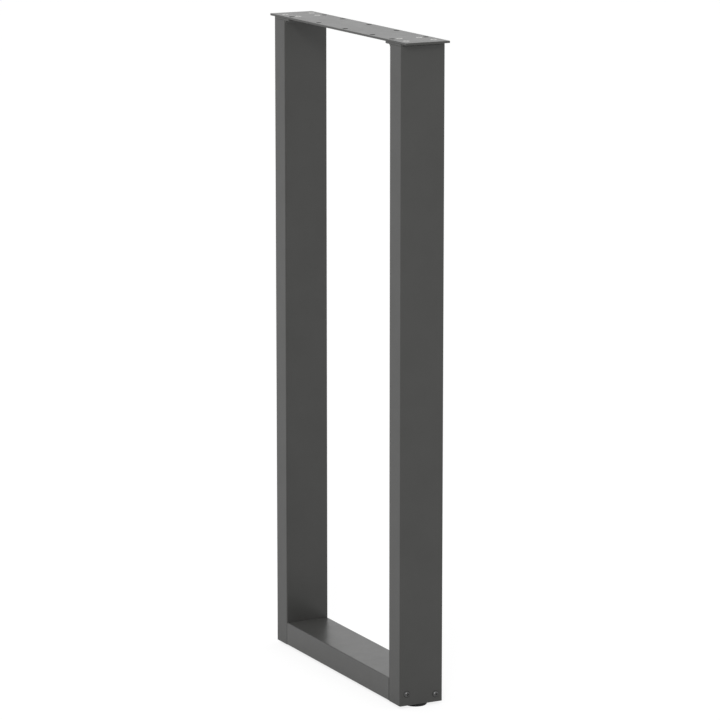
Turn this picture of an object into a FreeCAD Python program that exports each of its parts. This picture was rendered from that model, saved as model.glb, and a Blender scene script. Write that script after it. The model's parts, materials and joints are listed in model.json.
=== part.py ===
import FreeCAD, Part
import math
import os
import re
import Sketcher
from FreeCAD import Placement, Rotation, Vector

# A U-shaped leg for a bar table, made of rectangular steel tube: two uprights, a bottom bar screwed
# between them, a drilled top plate screwed onto them, and a levelling foot under each upright.
# Lengths are in millimetres. X runs along the width, Y from front to back, Z up from the floor.

sizes = {
    # rectangular tube of the uprights and the bar
    "tube_face": 40,                # narrow side, seen from the front
    "tube_depth": 80,               # wide side, from front to back
    "tube_wall": 1.5,
    "tube_bend": 0.5,               # inside radius of the tube's corners
    # frame
    "frame_width": 465,             # over both uprights
    "upright_length": 1100,
    "edge_break": 0.4,              # chamfer of cut edges and thread ends
    # top plate, and the flange welded onto each upright
    "plate_overhang": 17.5,         # how far the plate stands out over each upright
    "plate_thick": 3.5,
    "plate_corner": 1.5,
    "flange_thick": 3.5,
    "flange_reach": 16,             # how far the flange stands inwards of its upright
    "weld_leg": 4,
    "weld_hollow": 6.5,             # radius of the weld's face
    "weld_margin": 0.6,             # from the weld's end to the flange's edge
    # holes for the screws into the table top
    "hole_radius": 5,
    "hole_edge": 9,                 # from the plate's long edge to the hole's centre
    "hole_pitch": 98,
    "hole_stagger": 17,             # from the plate's middle to each row's middle hole
    "end_hole_inset": 7,            # from the flange's inner edge
    # countersunk screws that hold the plate on the flanges
    "plate_screw_radius": 3,
    "plate_screw_head": 5.5,        # radius of the head
    "plate_screw_rim": 0.25,        # straight rim of the head
    "plate_screw_tail": 1,          # length that stands out under the flange
    "outer_screw_inset": 11.5,      # from the upright's outer face
    "outer_screw_edge": 15,         # from the plate's long edge
    "inner_screw_inset": 8,         # from the flange's inner edge
    "inner_screw_edge": 22,
    # button-head screws through the uprights into the bar
    "side_screw_radius": 3,
    "side_screw_head": 5.5,
    "side_screw_rise": 3.3,         # height of the head
    "side_screw_bevel": 2,          # chamfer round the head
    "side_screw_tail": 5,           # length that stands out behind the bar's end plate
    "side_screw_edge": 13,          # from the tube's front or back face
    "side_screw_high": 20,          # both heights are over the tube's underside
    "side_screw_low": 13.5,
    # fits and sockets of the screws
    "socket_width": 4,              # across the flats
    "socket_depth": 2,
    "screw_clearance": 0.25,        # round a screw in a plain hole
    "thread_clearance": 0.05,       # round a screw in a tapped hole
    # plates welded into the ends of the tubes
    "bar_end_thick": 5,
    "base_thick": 3.5,
    # levelling feet
    "pad_radius": 19,
    "pad_height": 5,
    "pad_chamfer": 1,
    "pad_skin": 1,                  # plastic over and under the stud's flange
    "stud_radius": 4,
    "stud_flange": 8,               # radius of the flange moulded into the pad
    "stud_clearance": 0.5,          # round the stud in the base plate
    "stud_spare": 2,                # length over the nut when the foot is screwed right out
    "foot_travel": 10,
    "nut_width": 13,                # across the flats
    "nut_height": 6.5,
}

doc = FreeCAD.newDocument("table_leg")
sheet = doc.addObject("Spreadsheet::Sheet", "Sizes")
for row, (alias, number) in enumerate(sizes.items(), start=1):
    sheet.set(f"A{row}", alias)
    sheet.set(f"B{row}", str(number))
    sheet.setAlias(f"B{row}", alias)
doc.recompute()

# Places that several pieces share

tube_corner = "(tube_bend + tube_wall)"
inner_face = "(tube_face - 2 * tube_wall)"
inner_depth = "(tube_depth - 2 * tube_wall)"
upright_x = "(frame_width / 2 - tube_face / 2)"
bar_end_x = "(frame_width / 2 - tube_face)"
bar_z = "(pad_height + tube_face / 2)"
flange_x = "(frame_width / 2 - (tube_face + flange_reach) / 2)"
flange_z = "(pad_height + upright_length)"
plate_z = "(pad_height + upright_length + flange_thick)"
end_hole_x = "(frame_width / 2 - tube_face - flange_reach + end_hole_inset)"
inner_screw_x = "(frame_width / 2 - tube_face - flange_reach + inner_screw_inset)"
outer_screw_x = "(frame_width / 2 - outer_screw_inset)"
hole_y = "(tube_depth / 2 - hole_edge)"
outer_screw_y = "(tube_depth / 2 - outer_screw_edge)"
inner_screw_y = "(tube_depth / 2 - inner_screw_edge)"
side_screw_y = "(tube_depth / 2 - side_screw_edge)"
stud_bottom = "pad_skin"
stud_top = "(pad_height + base_thick + nut_height + foot_travel + stud_spare)"

tolerance = 1e-6                    # for finding a face by its height

# Expressions and placement


def sized(text):
    """The same expression with every size read from the sheet."""
    return re.sub(r"\b[a-z]+(_[a-z]+)+\b", r"Sizes.\g<0>", text)


def value(text):
    return float(sheet.evalExpression(sized(text)))


def bind(item, prop, text):
    item.setExpression(prop, sized(text))


def new_body(label):
    body = doc.addObject("PartDesign::Body", label)
    body.Label = label
    return body


def place(body, x="0", y="0", z="0", turn=Rotation()):
    body.Placement = Placement(Vector(), turn)
    for axis, text in (("x", x), ("y", y), ("z", z)):
        bind(body, f".Placement.Base.{axis}", text)


def place_on_side(body, side, x, z):
    """Right-hand pieces keep their own axes; left-hand ones are the same pieces turned round."""
    turn = Rotation(Vector(0, 0, 1), 0 if side > 0 else 180)
    place(body, f"{side} * {x}", "0", z, turn)


# Sketches, with their corners and centres tied to the sizes


def new_sketch(body, plane, level="0"):
    origin_plane = next(item for item in body.Origin.OriginFeatures if item.Role == plane)
    sketch = body.newObject("Sketcher::SketchObject", "Sketch")
    sketch.AttachmentSupport = [(origin_plane, "")]
    sketch.MapMode = "FlatFace"
    bind(sketch, ".AttachmentOffset.Base.z", level)
    return sketch


def limit(sketch, kind, where, text):
    index = sketch.addConstraint(Sketcher.Constraint(kind, *where, value(text)))
    sketch.renameConstraint(index, f"{kind}_{index}")
    bind(sketch, f"Constraints.{kind}_{index}", text)


def pin(sketch, item, point, across, up):
    """Ties one point of a drawn item to its two distances from the sketch's origin."""
    limit(sketch, "DistanceX", (-1, 1, item, point), across)
    limit(sketch, "DistanceY", (-1, 1, item, point), up)


def circle(sketch, across, up, radius):
    centre = Vector(value(across), value(up), 0)
    item = sketch.addGeometry(Part.Circle(centre, Vector(0, 0, 1), value(radius)), False)
    pin(sketch, item, 3, across, up)
    limit(sketch, "Radius", (item,), radius)


def outline(sketch, corners):
    """A closed outline of straight edges through the given corners."""
    points = [Vector(value(across), value(up), 0) for across, up in corners]
    following = points[1:] + points[:1]
    for start, end in zip(points, following):
        sketch.addGeometry(Part.LineSegment(start, end), False)
    for item, (across, up) in enumerate(corners):
        sketch.addConstraint(Sketcher.Constraint("Coincident", item, 2, (item + 1) % len(corners), 1))
        pin(sketch, item, 1, across, up)


def hexagon(sketch, width):
    """A regular hexagon round the origin; the width is across its flats."""
    turns = [math.radians(60 * corner) for corner in range(6)]
    outline(sketch, [(f"{math.cos(turn)} * {width} / sqrt(3)", f"{math.sin(turn)} * {width} / sqrt(3)")
                     for turn in turns])


def rounded_rectangle(sketch, across, up, radius):
    """Centred on the origin. Four arcs and the four lines between them, tangent all the way round."""
    half_x, half_y, bend = value(across) / 2, value(up) / 2, value(radius)
    arcs, lines = [], []
    for quarter, (side_x, side_y) in enumerate([(1, 1), (-1, 1), (-1, -1), (1, -1)]):
        centre = Vector(side_x * (half_x - bend), side_y * (half_y - bend), 0)
        start = math.pi / 2 * quarter
        arc = Part.ArcOfCircle(Part.Circle(centre, Vector(0, 0, 1), bend), start, start + math.pi / 2)
        arcs.append(sketch.addGeometry(arc, False))
    for quarter in range(4):
        start = sketch.getPoint(arcs[quarter], 2)
        end = sketch.getPoint(arcs[(quarter + 1) % 4], 1)
        lines.append(sketch.addGeometry(Part.LineSegment(start, end), False))
    for quarter, direction in enumerate(("Horizontal", "Vertical") * 2):
        sketch.addConstraint([
            Sketcher.Constraint("Tangent", arcs[quarter], 2, lines[quarter], 1),
            Sketcher.Constraint("Tangent", lines[quarter], 2, arcs[(quarter + 1) % 4], 1),
            Sketcher.Constraint(direction, lines[quarter]),
        ])
    for quarter in (1, 2, 3):
        sketch.addConstraint(Sketcher.Constraint("Equal", arcs[0], arcs[quarter]))
    sketch.addConstraint(Sketcher.Constraint("Symmetric", arcs[0], 3, arcs[2], 3, -1, 1))
    limit(sketch, "DistanceX", (lines[1], 1, lines[3], 1), across)
    limit(sketch, "DistanceY", (lines[2], 1, lines[0], 1), up)
    limit(sketch, "Radius", (arcs[0],), radius)


# Features


def pad(body, sketch, length, both_ways=False):
    feature = body.newObject("PartDesign::Pad", "Pad")
    feature.Profile = sketch
    feature.SideType = "Symmetric" if both_ways else "One side"
    bind(feature, "Length", length)
    doc.recompute()


def revolve(body, sketch):
    feature = body.newObject("PartDesign::Revolution", "Revolution")
    feature.Profile = sketch
    feature.ReferenceAxis = (sketch, ["V_Axis"])
    doc.recompute()


def pocket(body, sketch, depth=None):
    """Cuts to a depth below the sketch, or with no depth right through, both ways."""
    before = body.Shape.Volume
    feature = body.newObject("PartDesign::Pocket", "Pocket")
    feature.Profile = sketch
    if depth is None:
        feature.Type = "ThroughAll"
        feature.SideType = "Symmetric"
    else:
        bind(feature, "Length", depth)
    doc.recompute()
    if not body.Shape.Volume < before:
        raise RuntimeError(f"{body.Label}: a pocket cuts nothing")


def level_faces(body, heights):
    """Names of the level faces of a body's last feature that lie at one of the given heights."""
    names = []
    for index, face in enumerate(body.Tip.Shape.Faces, start=1):
        low, high = face.BoundBox.ZMin, face.BoundBox.ZMax
        if high - low < tolerance and any(abs(low - value(height)) < tolerance for height in heights):
            names.append(f"Face{index}")
    return names


def chamfer(body, size, *heights):
    """Chamfers the outlines of the level faces at the given heights."""
    base = (body.Tip, level_faces(body, heights))
    feature = body.newObject("PartDesign::Chamfer", "Chamfer")
    feature.Base = base
    bind(feature, "Size", size)
    doc.recompute()


# Tubes


def tube_section(sketch, across, up):
    rounded_rectangle(sketch, across, up, tube_corner)
    rounded_rectangle(sketch, f"{across} - 2 * tube_wall", f"{up} - 2 * tube_wall", "tube_bend")


def side_screw_places(over="0"):
    """The two side screws as (y, z) in a right-hand piece, with z over the given height."""
    high = (f"-{side_screw_y}", f"side_screw_high - {over}")
    low = (side_screw_y, f"side_screw_low - {over}")
    return high, low


def make_upright(label, side):
    body = new_body(label)
    section = new_sketch(body, "XY_Plane")
    tube_section(section, "tube_face", "tube_depth")
    pad(body, section, "upright_length")
    chamfer(body, "edge_break", "0")
    holes = new_sketch(body, "YZ_Plane")
    for y, z in side_screw_places():
        circle(holes, y, z, "side_screw_radius + screw_clearance")
    pocket(body, holes)
    place_on_side(body, side, upright_x, "pad_height")


def make_bottom_bar():
    body = new_body("bottom_bar")
    section = new_sketch(body, "YZ_Plane")
    tube_section(section, "tube_depth", "tube_face")
    pad(body, section, f"2 * {bar_end_x}", both_ways=True)
    place(body, z=bar_z)


def make_bar_end(label, side):
    body = new_body(label)
    section = new_sketch(body, "YZ_Plane", "-bar_end_thick")
    rounded_rectangle(section, inner_depth, inner_face, "tube_bend")
    pad(body, section, "bar_end_thick")
    holes = new_sketch(body, "YZ_Plane")
    for y, z in side_screw_places("tube_face / 2"):
        circle(holes, y, z, "side_screw_radius + thread_clearance")
    pocket(body, holes)
    place_on_side(body, side, bar_end_x, bar_z)


# Top plate and flanges


def make_flange(label, side):
    body = new_body(label)
    section = new_sketch(body, "XY_Plane")
    rounded_rectangle(section, "tube_face + flange_reach", "tube_depth", tube_corner)
    pad(body, section, "flange_thick")
    chamfer(body, "edge_break", "0", "flange_thick")
    holes = new_sketch(body, "XY_Plane")
    for y_side in (-1, 1):
        circle(holes, f"{outer_screw_x} - {flange_x}", f"{y_side} * {outer_screw_y}",
               "plate_screw_radius + thread_clearance")
        circle(holes, f"{inner_screw_x} - {flange_x}", f"{y_side} * {inner_screw_y}",
               "plate_screw_radius + thread_clearance")
        circle(holes, f"{end_hole_x} - {flange_x}", f"{y_side} * {hole_y}", "hole_radius")
    pocket(body, holes)
    place_on_side(body, side, flange_x, flange_z)


def make_flange_weld(label, side):
    """The weld in the corner under the flange: a bar hollowed along its length and fitted to the tube."""
    body = new_body(label)
    section = new_sketch(body, "XZ_Plane")
    wall = "(-tube_face / 2)"
    outline(section, [
        (f"{wall} + {tube_corner}", "0"),
        (f"{wall} - weld_leg", "0"),
        (f"{wall} - weld_leg", "-weld_leg"),
        (f"{wall} + {tube_corner}", "-weld_leg"),
    ])
    pad(body, section, "tube_depth - 2 * weld_margin", both_ways=True)
    hollow = new_sketch(body, "XZ_Plane")
    centre = "((weld_leg + sqrt(2 * weld_hollow^2 - weld_leg^2)) / 2)"
    circle(hollow, f"{wall} - {centre}", f"-{centre}", "weld_hollow")
    pocket(body, hollow)
    tube = new_sketch(body, "XY_Plane")
    rounded_rectangle(tube, "tube_face", "tube_depth", tube_corner)
    pocket(body, tube)
    place_on_side(body, side, upright_x, flange_z)


def make_top_plate():
    body = new_body("top_plate")
    section = new_sketch(body, "XY_Plane")
    rounded_rectangle(section, "frame_width + 2 * plate_overhang", "tube_depth", "plate_corner")
    pad(body, section, "plate_thick")
    chamfer(body, "edge_break", "0", "plate_thick")
    holes = new_sketch(body, "XY_Plane")
    for y_side in (-1, 1):
        for x_side in (-1, 1):
            circle(holes, f"{x_side} * {end_hole_x}", f"{y_side} * {hole_y}", "hole_radius")
        for step in (-1, 0, 1):
            circle(holes, f"{step} * hole_pitch - {y_side} * hole_stagger", f"{y_side} * {hole_y}",
                   "hole_radius")
    pocket(body, holes)
    seats = new_sketch(body, "XY_Plane", "plate_thick")
    for _, _, x, y in plate_screw_places():
        circle(seats, x, y, "plate_screw_radius + screw_clearance")
    countersink(body, seats)
    place(body, z=plate_z)


def countersink(body, sketch):
    """Screw holes right through, countersunk on top to the shape of the plate screws' heads."""
    feature = body.newObject("PartDesign::Hole", "Hole")
    feature.Profile = sketch
    feature.DepthType = "ThroughAll"
    feature.ThreadType = "None"
    bind(feature, "Diameter", "2 * (plate_screw_radius + screw_clearance)")
    feature.HoleCutType = "Countersink"
    bind(feature, "HoleCutDiameter", "2 * (plate_screw_head + plate_screw_rim)")
    feature.HoleCutCountersinkAngle = 90
    doc.recompute()


# Screws


def cut_socket(body, level):
    socket = new_sketch(body, "XY_Plane", level)
    hexagon(socket, "socket_width")
    pocket(body, socket, "socket_depth")


def plate_screw_places():
    """Each plate screw's two words for its label, and its x and y."""
    rows = [("outer", outer_screw_x, outer_screw_y), ("inner", inner_screw_x, inner_screw_y)]
    for side, side_word in ((-1, "left"), (1, "right")):
        for y_side, end_word in ((-1, "front"), (1, "back")):
            for row_word, x, y in rows:
                yield side_word, f"{row_word}_{end_word}", f"{side} * {x}", f"{y_side} * {y}"


def make_plate_screw(label, x, y):
    body = new_body(label)
    profile = new_sketch(body, "XZ_Plane")
    cone = "(-plate_screw_rim - (plate_screw_head - plate_screw_radius))"
    tip = "(-plate_thick - flange_thick - plate_screw_tail)"
    outline(profile, [
        ("0", "0"),
        ("plate_screw_head", "0"),
        ("plate_screw_head", "-plate_screw_rim"),
        ("plate_screw_radius", cone),
        ("plate_screw_radius", tip),
        ("0", tip),
    ])
    revolve(body, profile)
    cut_socket(body, "0")
    place(body, x, y, f"{plate_z} + plate_thick")


def make_side_screw(label, side, y, z):
    body = new_body(label)
    profile = new_sketch(body, "XZ_Plane")
    tip = "(-tube_face - bar_end_thick - side_screw_tail)"
    outline(profile, [
        ("0", "side_screw_rise"),
        ("side_screw_head", "side_screw_rise"),
        ("side_screw_head", "0"),
        ("side_screw_radius", "0"),
        ("side_screw_radius", f"{tip} + edge_break"),
        ("side_screw_radius - edge_break", tip),
        ("0", tip),
    ])
    revolve(body, profile)
    chamfer(body, "side_screw_bevel", "side_screw_rise")
    cut_socket(body, "side_screw_rise")
    turn = Rotation(Vector(0, 1, 0), 90 * side)
    place(body, f"{side} * frame_width / 2", f"{side} * {y}", f"pad_height + {z}", turn)


# Feet


def make_base_plate(label, side):
    body = new_body(label)
    section = new_sketch(body, "XY_Plane")
    rounded_rectangle(section, inner_face, inner_depth, "tube_bend")
    circle(section, "0", "0", "stud_radius + stud_clearance")
    pad(body, section, "base_thick")
    place_on_side(body, side, upright_x, "pad_height")


def make_foot_nut(label, side):
    body = new_body(label)
    section = new_sketch(body, "XY_Plane")
    hexagon(section, "nut_width")
    circle(section, "0", "0", "stud_radius + thread_clearance")
    pad(body, section, "nut_height")
    before = body.Shape.Volume
    corner = new_sketch(body, "XZ_Plane")
    outline(corner, [
        ("nut_width / 2", "nut_height"),
        ("nut_width", "nut_height"),
        ("nut_width", "nut_height - nut_width / 2 / sqrt(3)"),
    ])
    groove = body.newObject("PartDesign::Groove", "Groove")
    groove.Profile = corner
    groove.ReferenceAxis = (corner, ["V_Axis"])
    doc.recompute()
    if not body.Shape.Volume < before:
        raise RuntimeError(f"{label}: the groove cuts nothing")
    place_on_side(body, side, upright_x, "pad_height + base_thick")


def make_foot_stud(label, side):
    body = new_body(label)
    profile = new_sketch(body, "XZ_Plane")
    outline(profile, [
        ("0", stud_bottom),
        ("stud_flange", stud_bottom),
        ("stud_flange", "pad_height - pad_skin"),
        ("stud_radius", "pad_height - pad_skin"),
        ("stud_radius", f"{stud_top} - edge_break"),
        ("stud_radius - edge_break", stud_top),
        ("0", stud_top),
    ])
    revolve(body, profile)
    place_on_side(body, side, upright_x, "0")


def make_foot_pad(label, side):
    body = new_body(label)
    profile = new_sketch(body, "XZ_Plane")
    outline(profile, [
        ("0", "0"),
        ("pad_radius - pad_chamfer", "0"),
        ("pad_radius", "pad_chamfer"),
        ("pad_radius", "pad_height - edge_break"),
        ("pad_radius - edge_break", "pad_height"),
        ("stud_radius", "pad_height"),
        ("stud_radius", "pad_height - pad_skin"),
        ("stud_flange", "pad_height - pad_skin"),
        ("stud_flange", stud_bottom),
        ("0", stud_bottom),
    ])
    revolve(body, profile)
    place_on_side(body, side, upright_x, "0")


# The whole leg

make_top_plate()
make_bottom_bar()
for side, word in ((-1, "left"), (1, "right")):
    make_upright(f"upright_{word}", side)
    make_flange(f"flange_{word}", side)
    make_flange_weld(f"flange_weld_{word}", side)
    make_bar_end(f"bar_end_{word}", side)
    make_base_plate(f"base_plate_{word}", side)
    make_foot_nut(f"foot_nut_{word}", side)
    make_foot_stud(f"foot_stud_{word}", side)
    make_foot_pad(f"foot_pad_{word}", side)
    for height, (y, z) in zip(("high", "low"), side_screw_places()):
        make_side_screw(f"side_screw_{word}_{height}", side, y, z)
for side_word, place_words, x, y in plate_screw_places():
    make_plate_screw(f"plate_screw_{side_word}_{place_words}", x, y)
doc.recompute()

# Checks, then one file for each piece

for item in doc.Objects:
    if "Invalid" in item.State or "Error" in item.State:
        raise RuntimeError(f"{item.Label} is not built: {item.State}")
bodies = [item for item in doc.Objects if item.TypeId == "PartDesign::Body"]
for body in bodies:
    if body.Shape.isNull() or not body.Shape.isValid() or len(body.Shape.Solids) != 1:
        raise RuntimeError(f"{body.Label} is not one sound solid")
os.makedirs("parts", exist_ok=True)
for body in bodies:
    body.Shape.exportStep(f"parts/{body.Label}.step")
print(len(bodies), "pieces written")
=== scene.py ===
import json
from math import cos, pi, radians, sin, sqrt

import bmesh
import bpy
from mathutils import Matrix, Vector

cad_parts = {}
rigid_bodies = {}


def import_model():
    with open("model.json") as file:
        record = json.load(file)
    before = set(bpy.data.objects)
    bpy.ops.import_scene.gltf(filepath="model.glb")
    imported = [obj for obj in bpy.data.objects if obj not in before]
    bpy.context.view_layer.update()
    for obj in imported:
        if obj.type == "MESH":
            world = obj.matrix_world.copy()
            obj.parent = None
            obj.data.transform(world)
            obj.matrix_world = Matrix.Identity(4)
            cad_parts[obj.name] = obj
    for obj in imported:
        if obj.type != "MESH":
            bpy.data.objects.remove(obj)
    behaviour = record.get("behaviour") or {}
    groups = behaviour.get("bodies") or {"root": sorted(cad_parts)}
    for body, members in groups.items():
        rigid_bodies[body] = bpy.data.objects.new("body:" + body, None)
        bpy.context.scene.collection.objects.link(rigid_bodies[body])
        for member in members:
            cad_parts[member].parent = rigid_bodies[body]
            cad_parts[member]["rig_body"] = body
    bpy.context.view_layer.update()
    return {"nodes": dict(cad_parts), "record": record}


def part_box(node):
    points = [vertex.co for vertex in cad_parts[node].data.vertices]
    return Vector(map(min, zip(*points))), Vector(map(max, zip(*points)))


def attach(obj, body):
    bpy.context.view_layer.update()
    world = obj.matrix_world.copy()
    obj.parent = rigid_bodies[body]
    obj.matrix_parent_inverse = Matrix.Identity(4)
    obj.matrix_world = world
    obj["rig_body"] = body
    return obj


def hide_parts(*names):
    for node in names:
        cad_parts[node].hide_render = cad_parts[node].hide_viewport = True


# The look of a U-shaped bar table leg: powder-coated tube, zinc and black screws, threaded feet.
# Lengths are in metres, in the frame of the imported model.

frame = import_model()
nodes = frame["nodes"]
node_slots = {part["node"]: part["material_slot"] for part in frame["record"]["subparts"]}
tube_low, tube_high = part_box("upright_right")
head_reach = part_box("side_screw_right_high")[1][0]
mm = 0.001

# Camera, as in the photograph

aim = Vector((0.002, 0.004, 0.547))
camera_distance = 6.376
camera_turn = radians(152.83)           # direction of view, from +X round to +Y
camera_tilt = radians(-11.46)
focal_length = 188.6                    # in millimetres, as the sensor's width
sensor_width = 36

# Light and surroundings

room_light = 0.85
floor_radius = 14
floor_grey = 0.8
floor_glow = 1.11                       # what is mixed into its lit colour to make it look white
floor_whitening = 0.75                  # share of that glow
near_whitening = 0.2                    # the same in reflections, right beside the leg, where the smaller share paints shade
plain_beyond = 5                        # distance at which that has faded out
lamp_place = Vector((4.2, -2.7, 3.6))
lamp_size = 1.4
lamp_watts = 110

# Threads

points_round = 48                       # along each ring of a turned piece
thread_share = 0.6134                   # depth of a metric thread as a share of its pitch
thread_profile = [(0.0, 0.0), (0.12, 0.0), (0.5, 1.0), (0.62, 1.0)]     # share of the pitch, of the depth

# Screws

screw_pitch = 1 * mm
screw_radius = 3 * mm
core_radius = 0.86 * screw_radius       # end of the shank, hidden in the thread
core_length = 1 * mm
thread_gap = 0.5 * mm                   # from the plain shank to the thread
plate_taper = 0.2 * mm                  # height in which the shank narrows to its core
side_taper = 0.3 * mm
plate_screw_turn = radians(23)          # from one screw to the next, so that no two stand alike
side_screw_turn = radians(17)
socket_width = 4 * mm                   # across the flats
socket_depth = 2 * mm
socket_chamfer = 0.15 * mm
drill_radius = 0.48 * socket_width      # of the hole that the socket was broached in
drill_point = 0.8 * mm                  # depth of its pointed end
drill_tip = 0.05 * mm                   # radius in which that ends
cone_height = 2.5 * mm                  # of a countersunk head
cone_rim = 0.25 * mm
cone_bevel = 0.12 * mm
dome_flat = 2.9 * mm                    # radius of the flat on top of a button head
dome_rim = 0.4 * mm                     # height of its straight rim
dome_foot = 0.1 * mm                    # how much narrower the rim is where it meets the tube
dome_steps = 10
side_thread = 19.8 * mm                 # length of the side screws' thread

# Studs of the feet

stud_pitch = 1.25 * mm
stud_radius = 4 * mm
stud_core = 0.8 * stud_radius
stud_core_rise = 1.5 * mm
stud_flange = 3 * mm                    # thickness of the flange inside the pad
stud_bevel = 0.3 * mm
stud_sunk = 0.5 * mm                    # how deep the thread starts in the flange

# Welds under the flanges

tube_corner = 2 * mm
tube_half_depth = tube_high[1]
weld_margin = 0.6 * mm                  # from the weld's end to the flange's edge
weld_leg = 4 * mm
weld_hollow = 0.75 * mm                 # depth of its face under the line between its toes
weld_sunk = 0.3 * mm                    # how far it reaches into the tube's wall
weld_stations = 320                     # sections along it
weld_steps = 8                          # points across its face
weld_ripple = 0.11 * mm
weld_pitch = 1.5 * mm                   # from one ripple to the next
weld_arch = 1.2 * mm                    # how far each ripple bows out along the bead
weld_wander = 0.35 * mm                 # how far the ripples stray from an even pitch
weld_wander_length = 3.1 * mm
weld_swell = 0.2                        # share by which their height changes along the bead
weld_swell_length = 5.3 * mm

# Finish of the powder coat

coat_dark = (0.032, 0.032, 0.030)
coat_light = (0.036, 0.036, 0.034)
# Lighter colour of the coat's edges: rubbed wear, and also a painted edge highlight
coat_rubbed_highlit = (0.075, 0.075, 0.071)
edge_wear_and_highlight_share = 0.5                      # share of that colour on a sharp edge
coat_roughness = (0.30, 0.34)
coat_edge = 0.3 * mm                    # how far its rounded edges reach
bar_painted_light = 0.018                        # painted light: how much paler the bottom bar is made, to stand in for light its shaded faces lack

# Finish of the metal and plastic

zinc_bright = (0.62, 0.62, 0.60)
zinc_dull = (0.50, 0.50, 0.48)
zinc_roughness = (0.28, 0.42)
black_bright = (0.13, 0.13, 0.13)
black_dull = (0.07, 0.07, 0.07)
black_roughness = (0.2, 0.3)
# Painted shade: the colour that sockets and threads darken to
recess_painted_shade = (0.05, 0.048, 0.044)
recess_reach = 3 * mm                   # how near the walls of a socket or thread are
plastic_clean = (0.008, 0.008, 0.009)
plastic_scuffed = (0.018, 0.018, 0.018)
plastic_roughness = (0.62, 0.78)
plastic_shine = 0.25                    # half of what is usual


# Materials


def new_material(name):
    """A material with its node tree, its main shader and a function that adds linked nodes."""
    material = bpy.data.materials.new(name)
    material.use_nodes = True
    tree = material.node_tree
    shader = tree.nodes["Principled BSDF"]

    def add(kind, values=None, **links):
        node = tree.nodes.new(kind)
        for socket, number in (values or {}).items():
            node.inputs[socket].default_value = number
        for socket, source in links.items():
            tree.links.new(source, node.inputs[socket])
        return node

    return material, tree, shader, add


def place_on_object(add):
    return add("ShaderNodeTexCoord").outputs["Object"]


def noise(add, where, size, detail=2.0, roughness=0.5):
    """Noise whose blotches are about the given size."""
    values = {"Scale": 1 / size, "Detail": detail, "Roughness": roughness}
    return add("ShaderNodeTexNoise", values, Vector=where).outputs["Fac"]


def ranged(add, source, low, high, start=0.3, end=0.7):
    """Goes from low to high while the source goes from start to end."""
    values = {"From Min": start, "From Max": end, "To Min": low, "To Max": high}
    return add("ShaderNodeMapRange", values, Value=source).outputs["Result"]


def blend_colours(add, factor, first, second):
    """Each colour is three numbers or the output of another node."""
    node = add("ShaderNodeMix", Factor=factor)
    node.data_type = "RGBA"
    colour_inputs = [socket for socket in node.inputs if socket.type == "RGBA"]
    for socket, colour in zip(colour_inputs, (first, second)):
        if isinstance(colour, tuple):
            socket.default_value = (*colour, 1)
        else:
            node.id_data.links.new(colour, socket)
    return next(socket for socket in node.outputs if socket.type == "RGBA")


def bump(add, height, depth, strength, normal=None):
    links = {"Height": height}
    if normal is not None:
        links["Normal"] = normal
    node = add("ShaderNodeBump", {"Strength": strength, "Distance": depth}, **links)
    return node.outputs["Normal"]


def edge_share(add, rounded_normal, most):
    """The most along a sharp edge and 0 on a flat face, from how far the rounded normal leans over."""
    true_normal = add("ShaderNodeNewGeometry").outputs["Normal"]
    lean = add("ShaderNodeVectorMath")
    lean.operation = "DOT_PRODUCT"
    lean.id_data.links.new(rounded_normal, lean.inputs[0])
    lean.id_data.links.new(true_normal, lean.inputs[1])
    return ranged(add, lean.outputs["Value"], most, 0, start=0.75, end=0.98)


def recess_share(add):
    """Where shade is painted: 1 deep in a socket or a thread and 0 on an open face."""
    openness = add("ShaderNodeAmbientOcclusion", {"Distance": recess_reach}).outputs["AO"]
    return ranged(add, openness, 1, 0, start=0.25, end=0.75)


def make_powder_coat(name, lift=0):
    """Satin anthracite powder coat: a fine grain over a soft orange peel, thin on its edges, which are made
    lighter as rubbed wear and as a painted highlight.
    """
    material, tree, shader, add = new_material(name)
    # A lift makes a paler copy of the coat, which paints on light
    dark = tuple(channel + lift for channel in coat_dark)
    light = tuple(channel + lift for channel in coat_light)
    where = place_on_object(add)
    edges = add("ShaderNodeBevel", {"Radius": coat_edge}).outputs["Normal"]
    tone = noise(add, where, size=60 * mm, detail=3)
    coat = blend_colours(add, ranged(add, tone, 0, 1), dark, light)
    # Rubbed wear and painted highlight: sharp edges turn towards the lighter colour
    colour = blend_colours(add, edge_share(add, edges, edge_wear_and_highlight_share), coat, coat_rubbed_highlit)
    tree.links.new(colour, shader.inputs["Base Color"])
    gloss = noise(add, where, size=25 * mm, detail=4)
    tree.links.new(ranged(add, gloss, *coat_roughness), shader.inputs["Roughness"])
    peel_height = noise(add, where, size=2.2 * mm)
    peel = bump(add, peel_height, depth=0.09 * mm, strength=0.6, normal=edges)
    grain_height = noise(add, where, size=0.5 * mm, detail=3)
    grain = bump(add, grain_height, depth=0.05 * mm, strength=0.5, normal=peel)
    tree.links.new(grain, shader.inputs["Normal"])
    return material


def make_screw_metal(name, bright, dull, roughness):
    """Plated steel: clouded plating, fine scratches from turning and handling, and painted shade darkening
    its recesses.
    """
    material, tree, shader, add = new_material(name)
    where = place_on_object(add)
    clouds = noise(add, where, size=1.6 * mm, detail=4)
    plating = blend_colours(add, ranged(add, clouds, 0, 1), bright, dull)
    # Painted shade in the recesses, found by ambient occlusion
    colour = blend_colours(add, recess_share(add), plating, recess_painted_shade)
    tree.links.new(colour, shader.inputs["Base Color"])
    shader.inputs["Metallic"].default_value = 1.0
    scratches = noise(add, where, size=0.7 * mm, detail=5)
    tree.links.new(ranged(add, scratches, *roughness), shader.inputs["Roughness"])
    tree.links.new(bump(add, scratches, depth=0.02 * mm, strength=0.3), shader.inputs["Normal"])
    return material


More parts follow.
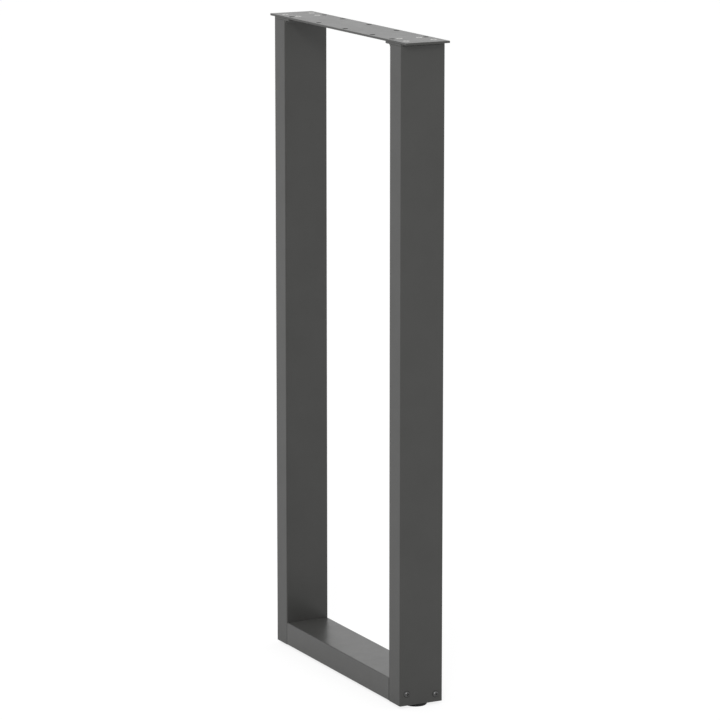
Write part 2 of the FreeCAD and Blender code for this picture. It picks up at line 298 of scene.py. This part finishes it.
def make_black_plastic():
    """Moulded polyethylene: an eroded mould texture and faint scuffs from the floor."""
    material, tree, shader, add = new_material("black_plastic")
    where = place_on_object(add)
    scuffs = noise(add, where, size=3 * mm, detail=6, roughness=0.7)
    scuffed = ranged(add, scuffs, 0, 1, start=0.5, end=0.75)
    colour = blend_colours(add, scuffed, plastic_clean, plastic_scuffed)
    tree.links.new(colour, shader.inputs["Base Color"])
    tree.links.new(ranged(add, scuffs, *plastic_roughness), shader.inputs["Roughness"])
    mould = noise(add, where, size=0.6 * mm, detail=3)
    tree.links.new(bump(add, mould, depth=0.03 * mm, strength=0.5), shader.inputs["Normal"])
    shader.inputs["Specular IOR Level"].default_value = plastic_shine
    return material


materials = {
    "powder_coat": make_powder_coat("powder_coat"),
    "zinc": make_screw_metal("zinc", zinc_bright, zinc_dull, zinc_roughness),
    "black_screw": make_screw_metal("black_screw", black_bright, black_dull, black_roughness),
    "black_plastic": make_black_plastic(),
}
for label, node in nodes.items():
    for slot_number in range(len(node.material_slots)):
        node.material_slots[slot_number].material = materials[node_slots[label]]
# The bottom bar gets that paler copy: painted light on its shaded top and front
for bar_slot in nodes["bottom_bar"].material_slots:
    bar_slot.material = make_powder_coat("bar_powder_coat_painted_lighter", bar_painted_light)


# Meshes


def finish_mesh(name, builder, smooth_below=35):
    """A new object from a bmesh: welded, faces turned outwards, smooth but for its sharp edges."""
    bmesh.ops.remove_doubles(builder, verts=builder.verts, dist=0.002 * mm)
    bmesh.ops.dissolve_degenerate(builder, edges=builder.edges, dist=0.001 * mm)
    bmesh.ops.recalc_face_normals(builder, faces=builder.faces)
    mesh = bpy.data.meshes.new(name)
    builder.to_mesh(mesh)
    builder.free()
    mesh.shade_smooth()
    mesh.set_sharp_from_angle(angle=radians(smooth_below))
    piece = bpy.data.objects.new(name, mesh)
    bpy.context.scene.collection.objects.link(piece)
    return piece


def join_rings(builder, rings):
    """Skins a closed form over rings of points, all with the same number of points."""
    rows = [[builder.verts.new(point) for point in ring] for ring in rings]
    count = len(rows[0])
    for lower, upper in zip(rows, rows[1:]):
        for step in range(count):
            after = (step + 1) % count
            builder.faces.new((lower[step], lower[after], upper[after], upper[step]))
    builder.faces.new(rows[0])
    builder.faces.new(rows[-1])


def round_ring(radius, height):
    turns = [2 * pi * step / points_round for step in range(points_round)]
    return [Vector((radius * cos(turn), radius * sin(turn), height)) for turn in turns]


def hexagon_ring(width, height):
    """A hexagon as a ring of the same number of points; the width is across its flats."""
    ring = []
    for step in range(points_round):
        turn = 2 * pi * step / points_round
        radius = width / 2 / cos((turn % (pi / 3)) - pi / 6)
        ring.append(Vector((radius * cos(turn), radius * sin(turn), height)))
    return ring


def socket_rings(top):
    """A hexagon socket, from the point of its drilled bottom up to its chamfered mouth."""
    floor = top - socket_depth
    return [
        round_ring(drill_tip, floor - drill_point),
        round_ring(drill_radius, floor),
        hexagon_ring(socket_width, floor),
        hexagon_ring(socket_width, top - socket_chamfer),
        hexagon_ring(socket_width + 2 * socket_chamfer, top),
    ]


def add_thread(builder, radius, pitch, low, high):
    """A screw thread between two heights: one sheet wound along its helix, closed at both ends."""
    depth = thread_share * pitch
    coils = range(-1, int((high - low) / pitch) + 3)
    columns = []
    for step in range(points_round + 1):
        turn = 2 * pi * step / points_round
        column = []
        for coil in coils:
            for along, cut in thread_profile:
                free_height = low + (coil + along + step / points_round) * pitch
                height = min(max(free_height, low), high)
                lead_in = radius - depth + min(height - low, high - height)
                reach = min(radius - cut * depth, lead_in)
                column.append(builder.verts.new((reach * cos(turn), reach * sin(turn), height)))
        columns.append(column)
    for left, right in zip(columns, columns[1:]):
        for row in range(len(left) - 1):
            builder.faces.new((left[row], right[row], right[row + 1], left[row + 1]))
    for end, height in ((0, low), (-1, high)):
        middle = builder.verts.new((0, 0, height))
        for left, right in zip(columns, columns[1:]):
            builder.faces.new((left[end], right[end], middle))


def stand_for(piece, node):
    """Puts a new piece in the place of a CAD node, on the same body and with the same finish."""
    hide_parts(node)
    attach(piece, nodes[node]["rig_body"])
    piece.data.materials.append(materials[node_slots[node]])


def middle_of(node):
    low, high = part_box(node)
    return (Vector(low) + Vector(high)) / 2


# Screws


def add_shank(builder, head, plain_end, taper, length):
    """Carries the rings of a head on down to the end of its plain shank, and adds the thread below."""
    join_rings(builder, head + [
        round_ring(screw_radius, plain_end),
        round_ring(core_radius, plain_end - taper),
        round_ring(core_radius, plain_end - taper - core_length),
    ])
    add_thread(builder, screw_radius, screw_pitch, -length, plain_end - thread_gap)


def place_screw(builder, node, spot, turn, lean=0):
    """Turns a screw about its own axis, leans it over from upright and puts it in its place."""
    stance = Matrix.Rotation(lean, 3, "Y") @ Matrix.Rotation(turn, 3, "Z")
    bmesh.ops.rotate(builder, verts=builder.verts, matrix=stance)
    bmesh.ops.translate(builder, verts=builder.verts, vec=spot)
    piece = finish_mesh("detailed_" + node, builder)
    stand_for(piece, node)


def make_plate_screw(node, turn):
    """Countersunk screw with a hexagon socket; its top is flush with the plate."""
    low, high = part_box(node)
    head_radius = (high[0] - low[0]) / 2
    head = socket_rings(0) + [
        round_ring(head_radius - cone_bevel, 0),
        round_ring(head_radius, -cone_bevel),
        round_ring(head_radius, -cone_rim),
    ]
    builder = bmesh.new()
    add_shank(builder, head, -cone_rim - cone_height, plate_taper, high[2] - low[2])
    centre = middle_of(node)
    place_screw(builder, node, (centre.x, centre.y, high[2]), turn)


def dome_rings(head_radius, rise):
    """The round of a button head, from the edge of its flat down to its rim."""
    ball_centre = (dome_flat**2 + rise**2 - head_radius**2 - dome_rim**2) / (2 * (rise - dome_rim))
    ball = sqrt(head_radius**2 + (dome_rim - ball_centre)**2)
    heights = [rise + (dome_rim - rise) * step / dome_steps for step in range(dome_steps + 1)]
    return [round_ring(sqrt(ball**2 - (height - ball_centre)**2), height) for height in heights]


def make_side_screw(node, turn):
    """Button-head screw with a hexagon socket, lying along X with its head outside."""
    low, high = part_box(node)
    side = 1 if high[0] > 0 else -1
    head_radius = (high[2] - low[2]) / 2
    rise = head_reach - tube_high[0]
    length = high[0] - low[0] - rise
    head = socket_rings(rise) + dome_rings(head_radius, rise) + [
        round_ring(head_radius - dome_foot, 0),
        round_ring(screw_radius, 0),
    ]
    builder = bmesh.new()
    add_shank(builder, head, side_thread + thread_gap - length, side_taper, length)
    centre = middle_of(node)
    place_screw(builder, node, (side * tube_high[0], centre.y, centre.z), turn, lean=side * pi / 2)


plate_screws = sorted(label for label in nodes if label.startswith("plate_screw"))
side_screws = sorted(label for label in nodes if label.startswith("side_screw"))
for number, label in enumerate(plate_screws):
    make_plate_screw(label, number * plate_screw_turn)
for number, label in enumerate(side_screws):
    make_side_screw(label, number * side_screw_turn)


# Feet


def make_stud(node):
    """The foot's threaded stud, with the flange that is moulded into the pad."""
    low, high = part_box(node)
    flange_radius = (high[0] - low[0]) / 2
    flange_top = low[2] + stud_flange
    builder = bmesh.new()
    join_rings(builder, [
        round_ring(flange_radius - stud_bevel, low[2]),
        round_ring(flange_radius, low[2] + stud_bevel),
        round_ring(flange_radius, flange_top - stud_bevel),
        round_ring(flange_radius - stud_bevel, flange_top),
        round_ring(stud_core, flange_top),
        round_ring(stud_core, flange_top + stud_core_rise),
    ])
    add_thread(builder, stud_radius, stud_pitch, flange_top - stud_sunk, high[2])
    centre = middle_of(node)
    bmesh.ops.translate(builder, verts=builder.verts, vec=(centre.x, centre.y, 0))
    piece = finish_mesh("threaded_" + node, builder)
    stand_for(piece, node)


for word in ("left", "right"):
    make_stud(f"foot_stud_{word}")


# Welds


def ripple_height(along, share):
    """Ripples bow out along the bead, one after another, and aren't quite even."""
    bow = weld_arch * (1 - (2 * share - 1)**2)
    wander = weld_wander * sin(along / weld_wander_length)
    swell = 1 - weld_swell + weld_swell * sin(along / weld_swell_length)
    return weld_ripple * swell * abs(sin(pi * (along + bow + wander) / weld_pitch))


def weld_section(side, along, under):
    """Outline of the bead at one place along Y: down the tube's wall and back over its hollow face."""
    beyond = max(abs(along) - (tube_half_depth - tube_corner), 0)
    back = weld_sunk + tube_corner - sqrt(tube_corner**2 - beyond**2)
    points = [(back, 0), (back, -weld_leg)]
    for step in range(weld_steps + 1):
        share = step / weld_steps
        bulge = (ripple_height(along, share) - weld_hollow) * sin(pi * share) * sqrt(0.5)
        points.append((-share * weld_leg - bulge, (share - 1) * weld_leg - bulge))
    return [Vector((side * (tube_low[0] + across), along, under + height)) for across, height in points]


def make_weld(node, side):
    """The bead in the corner between the inner wall of an upright and its flange."""
    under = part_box(node)[1][2]
    end = tube_half_depth - weld_margin
    places = [-end + 2 * end * station / weld_stations for station in range(weld_stations + 1)]
    builder = bmesh.new()
    join_rings(builder, [weld_section(side, along, under) for along in places])
    piece = finish_mesh("rippled_" + node, builder, smooth_below=50)
    stand_for(piece, node)


make_weld("flange_weld_left", -1)
make_weld("flange_weld_right", 1)


# Camera

camera = bpy.data.objects.new("camera", bpy.data.cameras.new("camera"))
camera.data.lens = focal_length
camera.data.sensor_width = sensor_width
view = Vector((cos(camera_tilt) * cos(camera_turn), cos(camera_tilt) * sin(camera_turn), sin(camera_tilt)))
camera.location = aim - camera_distance * view
camera.rotation_euler = view.to_track_quat("-Z", "Y").to_euler()
bpy.context.scene.collection.objects.link(camera)
bpy.context.scene.camera = camera


# Floor, world and lamp


def rays(tree, *names):
    """1 for light paths of any of the named kinds and 0 for the rest."""
    paths = tree.nodes.new("ShaderNodeLightPath")
    total = paths.outputs[names[0]]
    for name in names[1:]:
        larger = tree.nodes.new("ShaderNodeMath")
        larger.operation = "MAXIMUM"
        tree.links.new(total, larger.inputs[0])
        tree.links.new(paths.outputs[name], larger.inputs[1])
        total = larger.outputs[0]
    return total


def mix_shaders(tree, share, first, second):
    """The share is a number or the output of another node; 1 takes all of the second shader."""
    mix = tree.nodes.new("ShaderNodeMixShader")
    if isinstance(share, float):
        mix.inputs["Fac"].default_value = share
    else:
        tree.links.new(share, mix.inputs["Fac"])
    tree.links.new(first, mix.inputs[1])
    tree.links.new(second, mix.inputs[2])
    return mix.outputs[0]


def make_world():
    """An even room that looks plain white to the camera and in anything shiny or clear."""
    world = bpy.data.worlds.new("studio")
    world.use_nodes = True
    tree = world.node_tree
    room = tree.nodes["Background"]
    white = tree.nodes.new("ShaderNodeBackground")
    for background, strength in ((room, room_light), (white, 1.0)):
        background.inputs["Color"].default_value = (1, 1, 1, 1)
        background.inputs["Strength"].default_value = strength
    seen = rays(tree, "Is Camera Ray", "Is Glossy Ray", "Is Transmission Ray")
    surface = mix_shaders(tree, seen, room.outputs[0], white.outputs[0])
    tree.links.new(surface, tree.nodes["World Output"].inputs["Surface"])
    bpy.context.scene.world = world


def near_the_leg(tree):
    """1 at the leg's foot, falling smoothly to 0 where the floor looks plain white; it places the painted
    shade in reflections.
    """
    place = tree.nodes.new("ShaderNodeTexCoord")
    scaled = tree.nodes.new("ShaderNodeVectorMath")
    scaled.operation = "SCALE"
    scaled.inputs["Scale"].default_value = 1 / plain_beyond
    tree.links.new(place.outputs["Object"], scaled.inputs[0])
    fall = tree.nodes.new("ShaderNodeTexGradient")
    fall.gradient_type = "QUADRATIC_SPHERE"
    tree.links.new(scaled.outputs["Vector"], fall.inputs["Vector"])
    return fall.outputs["Fac"]


def make_floor():
    """A matt floor that looks white with a faint shadow, and has painted shade near the leg in its
    reflections.
    """
    builder = bmesh.new()
    bmesh.ops.create_circle(builder, cap_ends=True, segments=96, radius=floor_radius)
    floor = finish_mesh("floor", builder)
    material = bpy.data.materials.new("floor")
    material.use_nodes = True
    tree = material.node_tree
    tree.nodes.remove(tree.nodes["Principled BSDF"])
    paint = tree.nodes.new("ShaderNodeBsdfDiffuse")
    paint.inputs["Color"].default_value = (floor_grey, floor_grey, floor_grey, 1)
    glow = tree.nodes.new("ShaderNodeEmission")
    glow.inputs["Strength"].default_value = floor_glow
    pale = mix_shaders(tree, floor_whitening, paint.outputs[0], glow.outputs[0])
    # Painted shade: less glow beside the leg, seen only in reflections
    dull = mix_shaders(tree, near_whitening, paint.outputs[0], glow.outputs[0])
    reflected = mix_shaders(tree, near_the_leg(tree), pale, dull)
    shown = mix_shaders(tree, rays(tree, "Is Glossy Ray"), pale, reflected)
    seen = rays(tree, "Is Camera Ray", "Is Glossy Ray", "Is Transmission Ray")
    surface = mix_shaders(tree, seen, paint.outputs[0], shown)
    tree.links.new(surface, tree.nodes["Material Output"].inputs["Surface"])
    floor.data.materials.append(material)


def add_lamp():
    """A large soft lamp on the right that looks at the middle of the leg."""
    light = bpy.data.lights.new("side_lamp", "AREA")
    light.shape = "DISK"
    light.size = lamp_size
    light.energy = lamp_watts
    lamp = bpy.data.objects.new("side_lamp", light)
    lamp.location = lamp_place
    lamp.rotation_euler = (aim - lamp_place).to_track_quat("-Z", "Y").to_euler()
    bpy.context.scene.collection.objects.link(lamp)


make_world()
make_floor()
add_lamp()

bpy.context.scene.view_settings.view_transform = "Standard"
